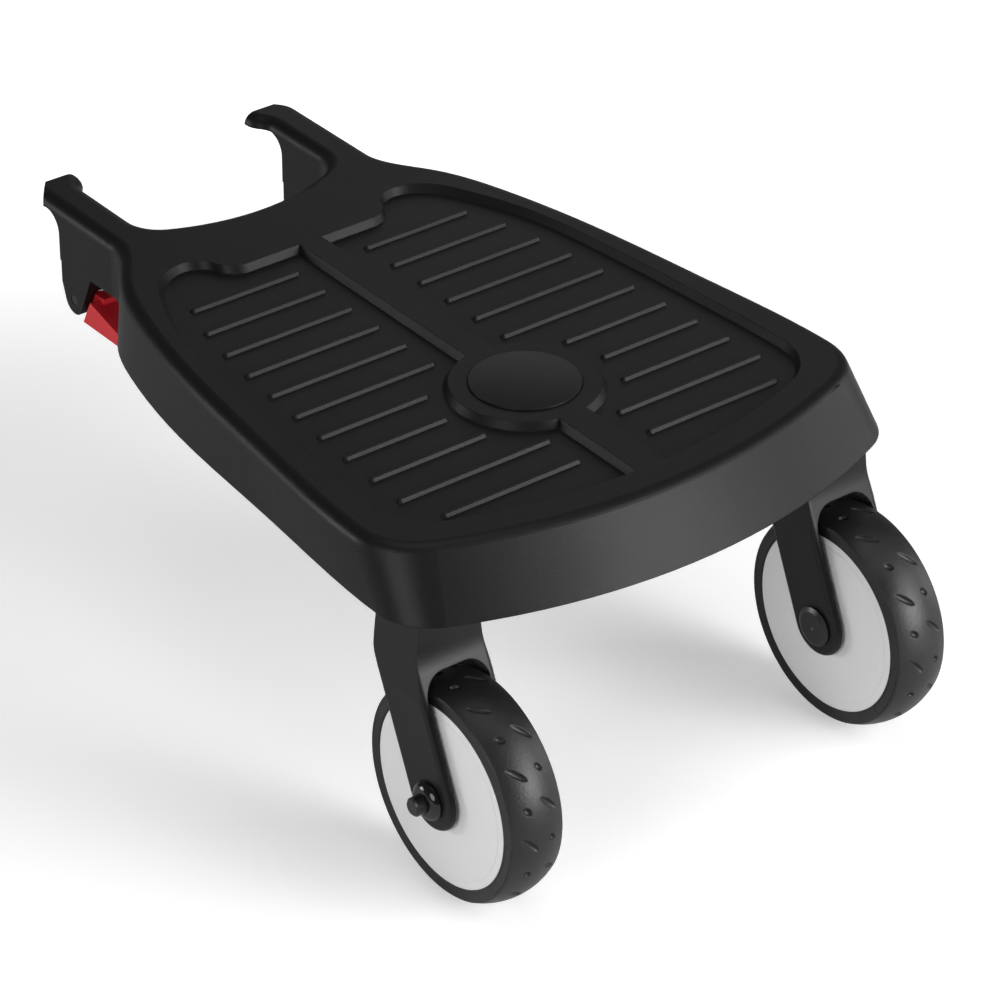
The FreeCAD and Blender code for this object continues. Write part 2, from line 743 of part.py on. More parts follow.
def coil(low, high, radius, wire, turns):
    # Half-turn biarcs follow the helix, so the tube has no kinks.
    count = int(turns * 2)
    places, ways = [], []
    for step in range(count + 1):
        turn = math.pi * step * turns * 2 / count
        rise = (high - low) / (2 * math.pi * turns)
        places.append(FreeCAD.Vector(radius * math.cos(turn), radius * math.sin(turn), low + rise * turn))
        way = FreeCAD.Vector(-radius * math.sin(turn), radius * math.cos(turn), rise)
        ways.append(way.normalize())
    edges = []
    for start, end, first, last in zip(places, places[1:], ways, ways[1:]):
        across = end - start
        both = first + last
        bend = 2 * (1 - first.dot(last))
        pull = across.dot(both)
        reach = (-pull + math.sqrt(pull ** 2 + bend * across.dot(across))) / bend
        near, far = start + first * reach, end - last * reach
        joint = (near + far) * 0.5
        for one, corner, other in ((start, near, joint), (joint, far, end)):
            chord = (one + other) * 0.5
            lean = corner - chord
            half = one.distanceToPoint(other) / 2
            sweep = 2 * math.atan2(lean.Length, half)
            middle = chord + lean.normalize() * half * math.tan(sweep / 4)
            edges.append(Part.Arc(one, middle, other).toShape())
    path = Part.Wire(edges)
    ring = Part.Wire(Part.Circle(places[0], ways[0], wire / 2).toShape())
    tube = path.makePipeShell([ring], True, False)
    marks = path.discretize(Number=count * 24)
    least = min(a.distanceToPoint(b) for i, a in enumerate(marks) for b in marks[i + 24:])
    print("least gap between coils %.2f mm" % (least - wire))
    return tube


hook_level = "sizes.arm_reach - sizes.hook_depth"
for side, sign in sides.items():
    place = {"x": "%d * (sizes.arm_inner + sizes.arm_outer) / 2" % sign}
    housing = new_body(side + "_latch_housing", place)
    tongue_sketch = sketch(housing, side + "_tongue_outline", "YZ_Plane", tongue)
    pad(housing, side + "_tongue", tongue_sketch, str(2 * cheek_half), symmetric=True)
    ear_sketch = sketch(housing, side + "_ear_outline", "YZ_Plane", ear)
    pad(housing, side + "_ears", ear_sketch,
        "sizes.arm_outer - sizes.arm_inner - 2 * sizes.ear_flush", symmetric=True)
    slot_sketch = sketch(housing, side + "_slot_outline", "YZ_Plane", slot)
    pocket(housing, side + "_slot", slot_sketch, str(2 * slot_half), symmetric=True)
    pin_sketch = sketch(housing, side + "_pin_hole_outline", "YZ_Plane",
                        [circle(pin, size("pin_radius") + size("running_gap"))])
    pocket(housing, side + "_pin_hole", pin_sketch, "sizes.arm_outer", symmetric=True)
    web_sketch = sketch(housing, side + "_web_hole_outline", "XY_Plane",
                        [circle((0, screw_y), size("screw_radius") + size("screw_gap"))],
                        str(web_low - size("overrun")))
    pocket(housing, side + "_web_hole", web_sketch, "sizes.web_wall + 2 * sizes.overrun", upward=True)
    nodes.append(housing)

    lever = new_body(side + "_release_lever", place)
    claw_sketch = sketch(lever, side + "_claw_outline", "YZ_Plane", claw)
    pad(lever, side + "_claw", claw_sketch, str(2 * (slot_half - size("lever_side_gap"))), symmetric=True)
    paddle_sketch = sketch(lever, side + "_paddle_outline", "YZ_Plane", paddle)
    pad(lever, side + "_paddle", paddle_sketch,
        "sizes.arm_outer - sizes.arm_inner - 2 * sizes.paddle_side_gap", symmetric=True)
    bore = sketch(lever, side + "_lever_bore_outline", "YZ_Plane",
                  [circle(pin, size("pin_radius") + size("running_gap"))])
    pocket(lever, side + "_lever_bore", bore, "sizes.arm_outer", symmetric=True)
    nodes.append(lever)

    pin_half = arm_half - size("ear_flush") - size("pin_end_gap")
    nodes.append(turned(side + "_lever_pin",
                        polygon([(-pin_half, 0), (-pin_half, size("pin_radius")),
                                 (pin_half, size("pin_radius")), (pin_half, 0)]),
                        dict(place, y=hook_level + " - sizes.pin_setback",
                             z=skirt_level + " - sizes.pin_drop")))

    spring = doc.addObject("Part::Feature", side + "_lever_spring")
    spring.Label = side + "_lever_spring"
    inset = size("spring_wire") / 2 + size("spring_seat_gap")
    spring.Shape = coil(shoulder_z + inset, web_low - inset, size("spring_radius"),
                        size("spring_wire"), size("spring_turns"))
    spring.Placement.Base = FreeCAD.Vector(sign * arm_middle, hook_back - size("spring_setback"), 0)
    nodes.append(spring)

    head, shank = size("screw_head_radius"), size("screw_radius")
    under = web_low - size("seat_gap")
    nodes.append(turned(side + "_housing_screw",
                        polygon([(0, under - size("screw_head")), (head, under - size("screw_head")),
                                 (head, under), (shank, under),
                                 (shank, web_low + size("screw_length") - size("seat_gap")),
                                 (0, web_low + size("screw_length") - size("seat_gap"))]),
                        dict(place, y=hook_level + " - sizes.screw_setback"), upright=True))

# Caster forks: a side outline padded across, then cut to the wheel gap and the tapered crown.
crown_z = skirt_z - size("washer_wall") - 2 * size("running_gap")
axle_y = -size("swivel_back") - size("trail")
axle_z = crown_z - size("fork_drop")
eye, crown = size("fork_eye_radius"), size("crown_half_length")
knee = (caster_y, crown_z - size("crown_knee"))
axle_place = (axle_y, axle_z)
leg = math.dist(knee, axle_place)
down = ((axle_y - knee[0]) / leg, (axle_z - knee[1]) / leg)
lean = (crown - eye) / leg
level = math.sqrt(1 - lean ** 2)
rear_way = (down[0] * lean - down[1] * level, down[1] * lean + down[0] * level)
front_way = (down[0] * lean + down[1] * level, down[1] * lean - down[0] * level)


def along_way(centre, radius, way):
    return (centre[0] + radius * way[0], centre[1] + radius * way[1])


crown_rear, crown_front = caster_y + crown, caster_y - crown
rear_knee = along_way(knee, crown, rear_way)
rear_eye, low_eye = along_way(axle_place, eye, rear_way), along_way(axle_place, eye, down)
front_eye = along_way(axle_place, eye, front_way)
climb = (crown_front - front_eye[0]) / front_way[1]
front_knee = (crown_front, front_eye[1] - climb * front_way[0])
front_bend = size("front_knee_radius") * math.tan(math.acos(-front_way[0]) / 2)
knee_low = (front_knee[0] - front_bend * front_way[1], front_knee[1] + front_bend * front_way[0])
knee_high = (crown_front, front_knee[1] + front_bend)
knee_centre = (crown_front - size("front_knee_radius"), knee_high[1])
fork_side = [line((crown_front, crown_z), (crown_rear, crown_z)),
             line((crown_rear, crown_z), (crown_rear, knee[1])),
             arc(knee, (crown_rear, knee[1]), rear_knee),
             line(rear_knee, rear_eye),
             ("arc", [rear_eye, low_eye, front_eye], None),
             line(front_eye, knee_low),
             arc(knee_centre, knee_low, knee_high),
             line(knee_high, (crown_front, crown_z))]
gap, bend = size("fork_gap_half"), size("arch_round")
arch = axle_z + size("tyre_radius") + size("arch_gap")
below = axle_z - eye - size("overrun")
gap_edges = [line((-gap, below), (gap, below)),
             line((gap, below), (gap, arch - bend)),
             arc((gap - bend, arch - bend), (gap, arch - bend), (gap - bend, arch)),
             line((gap - bend, arch), (bend - gap, arch)),
             arc((bend - gap, arch - bend), (bend - gap, arch), (-gap, arch - bend)),
             line((-gap, arch - bend), (-gap, below))]
wide, over = size("fork_half_width"), size("fork_half_width") + size("overrun")
shoulder_low = crown_z - size("fork_shoulder")
taper = polygon([(size("crown_half_width"), crown_z), (wide, shoulder_low), (over, shoulder_low),
                 (over, crown_z + size("overrun")), (size("crown_half_width"), crown_z + size("overrun"))])
fork_reach = "2 * (sizes.trail + sizes.crown_half_length + sizes.fork_eye_radius + sizes.overrun)"
stem_low = crown_z - size("stem_press")
stem_hole = size("stem_radius") + size("running_gap")
clip_z = skirt_z + size("bush_length") + (size("clip_pocket") - size("clip_wall")) / 2
groove_low, groove_high = clip_z - size("seat_gap"), clip_z + size("clip_wall") + size("seat_gap")
groove_radius = size("stem_radius") - size("clip_groove")
stem_top = skirt_z + size("bush_length") + size("stem_tip")
stem_edges = polygon([(0, stem_low), (size("stem_radius"), stem_low),
                      (size("stem_radius"), groove_low), (groove_radius, groove_low),
                      (groove_radius, groove_high), (size("stem_radius"), groove_high),
                      (size("stem_radius"), stem_top), (0, stem_top)])


def tube(inner, outer, low, high):
    return polygon([(inner, low), (outer, low), (outer, high), (inner, high)])


def ring(low, high, inner, outer):
    return polygon([(low, inner), (high, inner), (high, outer), (low, outer)])


# Wheel profiles run along the axle from the middle of the wheel.
flank, tread = size("tyre_half_width"), size("tyre_radius")
disc_face = flank - size("disc_recess")
disc_back = disc_face - size("disc_wall")
ledge = disc_back - size("tyre_side_gap")
hole = size("disc_radius") + size("tyre_side_gap")
edge_r = tread - size("tyre_shoulder")
round_r = edge_r + size("tyre_edge")
round_x = flank - size("tyre_edge")
tyre_edges = polygon([(round_x, round_r), (flank, edge_r), (flank, hole), (ledge, hole),
                      (ledge, size("tyre_seat")), (-ledge, size("tyre_seat")), (-ledge, hole),
                      (-flank, hole), (-flank, edge_r), (-round_x, round_r)])[1:]
tyre_edges.append(("arc", [(-round_x, round_r), (0, tread), (round_x, round_r)], None))
rim_half, rim_out = ledge - size("tyre_side_gap"), size("tyre_seat") - size("running_gap")
rim_in, web = rim_out - size("hub_rim"), size("hub_web_half")
bush_in = size("axle_radius") + size("running_gap")
bush_out = bush_in + size("hub_bush_wall")
barrel, barrel_half = size("barrel_radius"), size("barrel_half")
half_hub = [(barrel_half, bush_out + size("running_gap")), (barrel_half, barrel), (web, barrel),
            (web, rim_in), (rim_half, rim_in), (rim_half, rim_out)]
hub_edges = polygon(half_hub + [(-x, r) for x, r in reversed(half_hub)])
disc_hole = barrel + size("disc_gap")
spigot_out = rim_in - size("disc_gap")
spigot_in = spigot_out - size("disc_spigot_wall")
step_r = size("disc_radius") - size("disc_step_width")
step_x = disc_face + size("disc_step")
dome_x = step_x + size("disc_dome")
dome_mid = (mix(step_x, dome_x, disc_dome_share), (step_r + disc_hole) / 2)
disc_edges = [line((disc_back, disc_hole), (disc_back, spigot_in)),
              line((disc_back, spigot_in), (disc_back - size("disc_spigot"), spigot_in)),
              line((disc_back - size("disc_spigot"), spigot_in),
                   (disc_back - size("disc_spigot"), spigot_out)),
              line((disc_back - size("disc_spigot"), spigot_out), (disc_back, spigot_out)),
              line((disc_back, spigot_out), (disc_back, size("disc_radius"))),
              line((disc_back, size("disc_radius")), (disc_face, size("disc_radius"))),
              line((disc_face, size("disc_radius")), (disc_face, step_r)),
              line((disc_face, step_r), (step_x, step_r - size("disc_step"))),
              ("arc", [(step_x, step_r - size("disc_step")), dome_mid, (dome_x, disc_hole)], None),
              line((dome_x, disc_hole), (disc_back, disc_hole))]
seat_x = wide + size("running_gap")
head_x, head_r = seat_x + size("axle_head"), size("axle_head_radius")
nut_x = wide + size("nut_height")
end_x = nut_x + size("axle_stub")
axle_r, cut = size("axle_radius"), size("axle_chamfer")
axle_edges = polygon([(size("axle_dimple") - head_x, 0), (-head_x, size("axle_dimple_radius")),
                      (-head_x, head_r - size("axle_head")), (-seat_x - size("axle_head") / 2, head_r),
                      (-seat_x, head_r), (-seat_x, axle_r), (end_x - cut, axle_r),
                      (end_x, axle_r - cut), (end_x, 0)])
nut_r, nut_in = size("nut_radius"), axle_r + size("running_gap")
nut_low = seat_x + size("nut_rim")
nut_mouth = nut_in + size("axle_chamfer")
nut_bulge = polar((nut_low, nut_mouth), size("nut_height") - size("nut_rim"), size("nut_bulge_angle"))
nut_edges = [line((seat_x, nut_in), (seat_x, nut_r)),
             line((seat_x, nut_r), (nut_low, nut_r)),
             ("arc", [(nut_low, nut_r), nut_bulge, (nut_x, nut_mouth)], None),
             line((nut_x, nut_mouth), (nut_x, nut_in)),
             line((nut_x, nut_in), (seat_x, nut_in))]
washer_out = gap - size("running_gap")
washer_in = washer_out - size("axle_washer_wall")
washer_r = size("axle_washer_radius")
bush_start = barrel_half - size("hub_bush_length")
crown_radius = (round_x ** 2 + (tread - round_r) ** 2) / (2 * (tread - round_r))


def tread_at(across):
    return tread - crown_radius + math.sqrt(crown_radius ** 2 - across ** 2)


# Tread marks: slanted hollows with a short one between each two, on both halves of the tread.
mark_x = size("groove_place")
mark_place = FreeCAD.Vector(mark_x, 0, tread_at(mark_x))
mark_fall = math.degrees(math.asin(mark_x / crown_radius))
mark_turn = (FreeCAD.Rotation(FreeCAD.Vector(0, 1, 0), mark_fall)
             * FreeCAD.Rotation(FreeCAD.Vector(0, 0, 1), size("groove_turn")))
half_turn = FreeCAD.Rotation(FreeCAD.Vector(0, 0, 1), 180)
half_pitch = FreeCAD.Rotation(FreeCAD.Vector(1, 0, 0), 180 / size("groove_count"))


def ring_of(body, name, cut):
    pattern = body.newObject("PartDesign::PolarPattern", name)
    pattern.Originals = [cut]
    pattern.Axis = (origin_feature(body, "X_Axis"), [""])
    pattern.Angle = 360
    pattern.setExpression("Occurrences", "sizes.groove_count")
    body.Tip = pattern


axle_level = skirt_level + " - sizes.washer_wall - 2 * sizes.running_gap - sizes.fork_drop"
for side, sign in sides.items():
    across = "%d * (sizes.deck_half_width - sizes.track_inset)" % sign
    swivel = {"x": across, "y": "-sizes.swivel_back"}
    wheel = {"x": across, "y": "-sizes.swivel_back - sizes.trail", "z": axle_level}

    fork = new_body(side + "_caster_fork", {"x": across})
    fork_sketch = sketch(fork, side + "_fork_outline", "YZ_Plane", fork_side)
    blank = pad(fork, side + "_fork_blank", fork_sketch, "2 * sizes.fork_half_width", symmetric=True)
    doc.recompute()
    rounds = []
    for number, edge in enumerate(blank.Shape.Edges, 1):
        box = edge.BoundBox
        if box.XLength < tolerance and box.ZLength > tolerance:
            rounds.append("Edge%d" % number)
    edge_round(fork, side + "_fork_round", blank, rounds, "sizes.fork_round")
    taper_sketch = sketch(fork, side + "_crown_taper_outline", "XZ_Plane",
                          taper + [flipped(edge) for edge in reversed(taper)],
                          "sizes.swivel_back + sizes.trail / 2")
    pocket(fork, side + "_crown_taper", taper_sketch, fork_reach, symmetric=True)
    gap_sketch = sketch(fork, side + "_wheel_gap_outline", "XZ_Plane", gap_edges,
                        "sizes.swivel_back + sizes.trail / 2")
    pocket(fork, side + "_wheel_gap", gap_sketch, fork_reach, symmetric=True)
    eye_sketch = sketch(fork, side + "_axle_hole_outline", "YZ_Plane",
                        [circle(axle_place, size("axle_radius") + size("running_gap"))])
    pocket(fork, side + "_axle_hole", eye_sketch, "2 * (sizes.fork_half_width + sizes.overrun)",
           symmetric=True)
    stem_sketch = sketch(fork, side + "_stem_hole_outline", "XY_Plane",
                         [circle((0, caster_y), stem_hole)], str(stem_low))
    pocket(fork, side + "_stem_hole", stem_sketch, "sizes.stem_press + sizes.overrun", upward=True)
    nodes.append(fork)

    nodes.append(turned(side + "_swivel_stem", stem_edges, swivel, upright=True))
    nodes.append(turned(side + "_stem_bush",
                        tube(stem_hole, bush_radius, skirt_z, skirt_z + size("bush_length")),
                        swivel, upright=True))
    nodes.append(turned(side + "_thrust_washer",
                        tube(size("stem_radius") + size("clip_room"), size("washer_radius"),
                             crown_z + size("running_gap"), skirt_z - size("running_gap")),
                        swivel, upright=True))
    clip = new_body(side + "_stem_clip", swivel)
    mouth = size("clip_opening") / 2
    clip_in, clip_out = groove_radius + size("running_gap"), size("clip_radius")
    ends = [polar((0, 0), radius, turn) for radius in (clip_in, clip_out) for turn in (mouth, -mouth)]
    clip_edges = [("arc", [ends[0], (-clip_in, 0), ends[1]], None), line(ends[1], ends[3]),
                  ("arc", [ends[3], (-clip_out, 0), ends[2]], None), line(ends[2], ends[0])]
    clip_sketch = sketch(clip, side + "_clip_outline", "XY_Plane", clip_edges, str(clip_z))
    pad(clip, side + "_clip", clip_sketch, "sizes.clip_wall")
    nodes.append(clip)

    tyre = turned(side + "_tyre", tyre_edges, wheel)
    for name, turn in (("outer", FreeCAD.Rotation()), ("inner", half_pitch * half_turn)):
        for kind, half, shift in (("groove", "sizes.groove_half_length", FreeCAD.Rotation()),
                                  ("dot", "sizes.dot_half_length", half_pitch)):
            mark = tyre.newObject("PartDesign::SubtractiveEllipsoid", "%s_%s_%s" % (side, name, kind))
            mark.setExpression("Radius1", "sizes.groove_depth")
            mark.setExpression("Radius2", half)
            mark.setExpression("Radius3", "sizes.groove_half_width")
            mark.Placement = FreeCAD.Placement(shift * turn * mark_place, shift * turn * mark_turn)
            ring_of(tyre, "%s_%s_%ss" % (side, name, kind), mark)
    nodes.append(tyre)
    nodes.append(turned(side + "_wheel_hub", hub_edges, wheel))
    for name, turn in (("outer", 1), ("inner", -1)):
        disc = turned("%s_wheel_disc_%s" % (side, name), disc_edges, wheel)
        disc.Placement.Rotation = FreeCAD.Rotation(FreeCAD.Vector(0, 0, 1), 90 - 90 * turn * sign)
        nodes.append(disc)
    nodes.append(turned(side + "_hub_bushes",
                        ring(bush_start, barrel_half, bush_in, bush_out)
                        + ring(-barrel_half, -bush_start, bush_in, bush_out), wheel))
    nodes.append(turned(side + "_axle_washers",
                        ring(washer_in, washer_out, bush_in, washer_r)
                        + ring(-washer_out, -washer_in, bush_in, washer_r), wheel))
    for name, edges in (("axle", axle_edges), ("axle_nut", nut_edges)):
        piece = turned("%s_%s" % (side, name), edges, wheel)
        piece.Placement.Rotation = FreeCAD.Rotation(FreeCAD.Vector(0, 0, 1), 90 - 90 * sign)
        nodes.append(piece)

doc.recompute()
for item in doc.Objects:
    if {"Invalid", "Error"} & set(item.State):
        raise RuntimeError("%s failed: %s" % (item.Label, item.State))
for node in nodes:
    if node.Shape.isNull() or not node.Shape.isValid() or not node.Shape.Solids:
        raise RuntimeError(node.Label + " has no valid solid")

os.makedirs("parts", exist_ok=True)
for node in nodes:
    node.Shape.exportStep("parts/%s.step" % node.Label)
    box = node.Shape.BoundBox
    print("%-24s %d solids %9.0f mm3  x %.1f %.1f  y %.1f %.1f  z %.1f %.1f" % (
        node.Label, len(node.Shape.Solids), node.Shape.Volume,
        box.XMin, box.XMax, box.YMin, box.YMax, box.ZMin, box.ZMax))
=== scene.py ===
import bpy
import bmesh
import json
import math
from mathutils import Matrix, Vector


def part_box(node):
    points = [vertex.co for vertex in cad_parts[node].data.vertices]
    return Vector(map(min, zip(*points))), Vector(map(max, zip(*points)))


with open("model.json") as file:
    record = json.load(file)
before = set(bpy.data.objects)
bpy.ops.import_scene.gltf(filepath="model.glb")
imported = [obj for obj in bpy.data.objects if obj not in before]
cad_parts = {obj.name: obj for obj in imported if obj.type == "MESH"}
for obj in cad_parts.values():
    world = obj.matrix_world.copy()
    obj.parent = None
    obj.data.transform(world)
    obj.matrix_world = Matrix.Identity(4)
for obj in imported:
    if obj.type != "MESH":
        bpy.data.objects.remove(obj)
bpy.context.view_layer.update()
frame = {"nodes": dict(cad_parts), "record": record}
nodes = frame["nodes"]
subparts = frame["record"]["subparts"]
scene = bpy.context.scene
scene.view_settings.view_transform = "Standard"
print("frame loaded:", len(nodes), "nodes")


# camera, fitted on the foot ribs
cameraSetup = {
    "place": (-1.18027, -1.56697, 1.31895),
    "turn": (57.7426, -0.2487, -37.8379),  # degrees
    "lens": 158.4,
    "sensor": 36.0,
    "clipEnd": 20.0,
}
cameraData = bpy.data.cameras.new("camera")
cameraData.lens = cameraSetup["lens"]
cameraData.sensor_width = cameraSetup["sensor"]
cameraData.dof.use_dof = False
cameraData.clip_end = cameraSetup["clipEnd"]
camera = bpy.data.objects.new("camera", cameraData)
camera.location = cameraSetup["place"]
camera.rotation_euler = [math.radians(t) for t in cameraSetup["turn"]]
scene.collection.objects.link(camera)
scene.camera = camera
print("camera placed")


class Value:
    # a socket that takes part in sums
    def __init__(self, tree, socket=None):
        self.tree = tree
        self.socket = socket

    def put(self, target, thing):
        if isinstance(thing, Value):
            self.tree.links.new(thing.socket, target)
        else:
            target.default_value = thing

    def node(self, kind, settings, values, out=0):
        made = self.tree.nodes.new(kind)
        for name, setting in settings.items():
            setattr(made, name, setting)
        for name, thing in values.items():
            self.put(made.inputs[name], thing)
        return Value(self.tree, made.outputs[out])

    def maths(self, operation, *terms):
        return self.node("ShaderNodeMath", {"operation": operation}, dict(enumerate(terms)))

    def __add__(self, other):
        return self.maths("ADD", self, other)

    def __radd__(self, other):
        return self.maths("ADD", other, self)

    def __sub__(self, other):
        return self.maths("SUBTRACT", self, other)

    def __rsub__(self, other):
        return self.maths("SUBTRACT", other, self)

    def __mul__(self, other):
        return self.maths("MULTIPLY", self, other)

    def __rmul__(self, other):
        return self.maths("MULTIPLY", other, self)

    def __pow__(self, other):
        return self.maths("POWER", self, other)

    def __rpow__(self, other):
        return self.maths("POWER", other, self)

    def unsigned(self):
        return self.maths("ABSOLUTE", self)

    def limited(self):
        return self.node("ShaderNodeClamp", {}, {"Value": self})

    def between(self, low, high):  # a soft step from zero to one
        return self.node("ShaderNodeMapRange", {"interpolation_type": "SMOOTHSTEP"},
                         {"Value": self, "From Min": low, "From Max": high})

    def near(self, target, width):  # one at the target, zero a width away
        return 1.0 - (self - target).unsigned().between(0.0, width)

    def inside(self, bound):
        return self.maths("LESS_THAN", self, bound)

    def within(self, low, high):  # one between two bounds
        return self.maths("GREATER_THAN", self, low) * self.inside(high)

    def blend(self, first, second):  # this value picks between two colours
        return self.node("ShaderNodeMix", {"data_type": "RGBA"},
                         {0: self, 6: first, 7: second}, 2)

    def axis(self, letter):
        return self.node("ShaderNodeSeparateXYZ", {}, {"Vector": self}, letter)


def startMaterial(name):
    material = bpy.data.materials.new(name)
    material.use_nodes = True
    tree = material.node_tree
    place = Value(tree).node("ShaderNodeTexCoord", {}, {}, "Object")
    return material, tree.nodes["Principled BSDF"], place


def cameraRay(tree):
    return Value(tree).node("ShaderNodeLightPath", {}, {}, "Is Camera Ray")


def noise(place, scale, detail=3.0, rough=0.55):
    return place.node("ShaderNodeTexNoise", {},
                      {"Vector": place, "Scale": scale, "Detail": detail, "Roughness": rough})


def stretched(place, scale):
    return place.node("ShaderNodeMapping", {}, {"Vector": place, "Scale": scale})


def mixed(first, second, shares):
    return first * shares[0] + second * shares[1]


noiseMiddle = 0.5


def swung(value, swing, middle):
    return (value - noiseMiddle) * swing + middle


def shade(colour, gain=1.0):
    return (colour[0] * gain, colour[1] * gain, colour[2] * gain, 1.0)


edgeSamples = 4


def bumped(place, shader, height, strength, distance, edge):
    soft = place.node("ShaderNodeBevel", {"samples": edgeSamples}, {"Radius": edge})  # broken edges
    normal = place.node("ShaderNodeBump", {},
                        {"Height": height, "Strength": strength, "Distance": distance,
                         "Normal": soft})
    place.put(shader.inputs["Normal"], normal)


def mouldedPlastic(name, look):
    material, shader, place = startMaterial(name)
    grain = noise(place, look["grainScale"], look["grainDetail"], look["grainRough"])
    cloud = noise(place, look["cloudScale"], look["cloudDetail"])
    streak = noise(stretched(place, look["scuffStretch"]),
                   look["scuffScale"], look["scuffDetail"], look["scuffRough"])
    scuff = streak.between(look["scuffFrom"], look["scuffTo"])
    tone = mixed(cloud, grain, look["toneMix"]).limited()
    plain = tone.blend(shade(look["colour"], 1.0 - look["mottle"]),
                       shade(look["colour"], 1.0 + look["mottle"]))
    worn = (scuff * look["wear"]).blend(plain, shade(look["colour"], look["wornGain"]))
    rough = swung(cloud, look["roughSwing"], look["roughness"]) - scuff * look["scuffPolish"]
    place.put(shader.inputs["Base Color"], worn)
    place.put(shader.inputs["Roughness"], rough)
    shader.inputs["Specular IOR Level"].default_value = look["specular"]
    bumped(place, shader, grain, look["grain"], look["grainDepth"], look["edge"])
    return material


# the other plastics start from the deck's
deckLook = {
    "colour": (0.007, 0.007, 0.0074), "mottle": 0.12, "toneMix": (0.6, 0.4),
    "roughness": 0.42, "roughSwing": 0.14, "specular": 0.2,
    "grainScale": 1500.0, "grainDetail": 2.0, "grainRough": 0.6,
    "cloudScale": 14.0, "cloudDetail": 4.0,
    "scuffScale": 60.0, "scuffStretch": (1.0, 6.0, 1.0),
    "scuffDetail": 5.0, "scuffRough": 0.65,
    "scuffFrom": 0.58, "scuffTo": 0.74, "scuffPolish": 0.06,
    "wear": 0.12, "wornGain": 1.7,
    "grain": 0.22, "grainDepth": 0.0003, "edge": 0.0007,
}
forkLook = dict(deckLook, roughness=0.4, specular=0.26, wear=0.10, grainScale=1900.0, grain=0.2)
housingLook = dict(deckLook, grain=0.2)
badgeLook = dict(deckLook, colour=(0.009, 0.009, 0.0095), roughness=0.36, specular=0.22,
                 grain=0.08, wear=0.2)
leverLook = dict(deckLook, colour=(0.66, 0.017, 0.026), roughness=0.4, specular=0.4,
                 mottle=0.05, grain=0.10, wear=0.06, wornGain=1.3, edge=0.0006)
bushLook = dict(deckLook, colour=(0.62, 0.61, 0.57), specular=0.4, mottle=0.04,
                wear=0.1, wornGain=0.8)
discLook = dict(deckLook, colour=(0.78, 0.78, 0.785), roughness=0.36, specular=0.4,
                mottle=0.02, grain=0.05, wear=0.08, wornGain=0.9, edge=0.0003)


tyreLook = {
    "colour": (0.008, 0.008, 0.0085), "dust": (0.028, 0.0275, 0.027),
    "roughness": 0.42, "roughSwing": 0.16, "specular": 0.42,
    "cloudScale": 30.0, "cloudDetail": 4.0, "fineScale": 1600.0, "fineDetail": 2.0,
    "dustFrom": 0.5, "dustTo": 0.75, "dustMix": (0.35, 0.12),
    "poreScale": 700.0, "poreMix": (0.6, 0.4), "pore": 0.25, "poreDepth": 0.0004,
    "strength": 1.0, "edge": 0.0012,
    "borderTurn": 0.35, "borderHalf": 0.33, "borderLow": 0.0508, "borderHigh": 0.0552,
    "borderLine": 0.0003, "borderEnd": 0.006, "borderRise": 2.2, "sideFade": (0.002, 0.001),
}


def foamRubber(name, look, tyre):
    material, shader, place = startMaterial(name)
    pores = place.node("ShaderNodeTexVoronoi", {"feature": "SMOOTH_F1"},
                       {"Vector": place, "Scale": look["poreScale"]})
    cloud = noise(place, look["cloudScale"], look["cloudDetail"])
    fine = noise(place, look["fineScale"], look["fineDetail"])
    patches = cloud.between(look["dustFrom"], look["dustTo"])
    dust = mixed(patches, fine, look["dustMix"]).limited()
    place.put(shader.inputs["Base Color"], dust.blend(shade(look["colour"]), shade(look["dust"])))
    place.put(shader.inputs["Roughness"], swung(cloud, look["roughSwing"], look["roughness"]))
    shader.inputs["Specular IOR Level"].default_value = look["specular"]
    # places round the axle; the other tyre is the mirror image
    lowest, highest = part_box(tyre)
    middle = (lowest + highest) / 2
    halfWidth = (highest.x - lowest.x) / 2
    along = place.axis("Y") - middle.y
    level = place.axis("Z") - middle.z
    reach = (along ** 2.0 + level ** 2.0) ** 0.5
    turn = place.maths("ARCTAN2", level, along)
    aside = (place.axis("X").unsigned() - middle.x).unsigned()
    # two plain raised borders on each side wall, half a turn apart
    low, high, half = look["borderLow"], look["borderHigh"], look["borderHalf"]
    swing = place.maths("PINGPONG", turn - look["borderTurn"], math.pi / 2)
    arcs = reach.near(low, look["borderLine"]) + reach.near(high, look["borderLine"])
    ends = swing.near(half, look["borderEnd"])
    ridge = arcs * swing.inside(half) + ends * reach.within(low, high)
    onSide = aside.between(*[halfWidth - fade for fade in look["sideFade"]])
    foam = mixed(pores, fine, look["poreMix"]) * look["pore"]
    height = foam + ridge * onSide * look["borderRise"]
    bumped(place, shader, height, look["strength"], look["poreDepth"], look["edge"])
    return material


steelLook = {
    "colour": (0.50, 0.50, 0.51), "dark": 0.86, "bright": 1.12, "toneMix": (0.5, 0.5),
    "roughness": 0.3, "roughSwing": 0.2, "metallic": 1.0,
    "brushScale": 240.0, "brushStretch": (0.25, 1.0, 1.0), "brushDetail": 4.0,
    "cloudScale": 50.0, "brush": 0.08, "brushDepth": 0.0002, "edge": 0.0005,
}
nutLook = dict(steelLook, colour=(0.007, 0.007, 0.0075), roughness=0.12, metallic=0.0,
               brushScale=300.0)
axleLook = dict(nutLook, roughness=0.34)


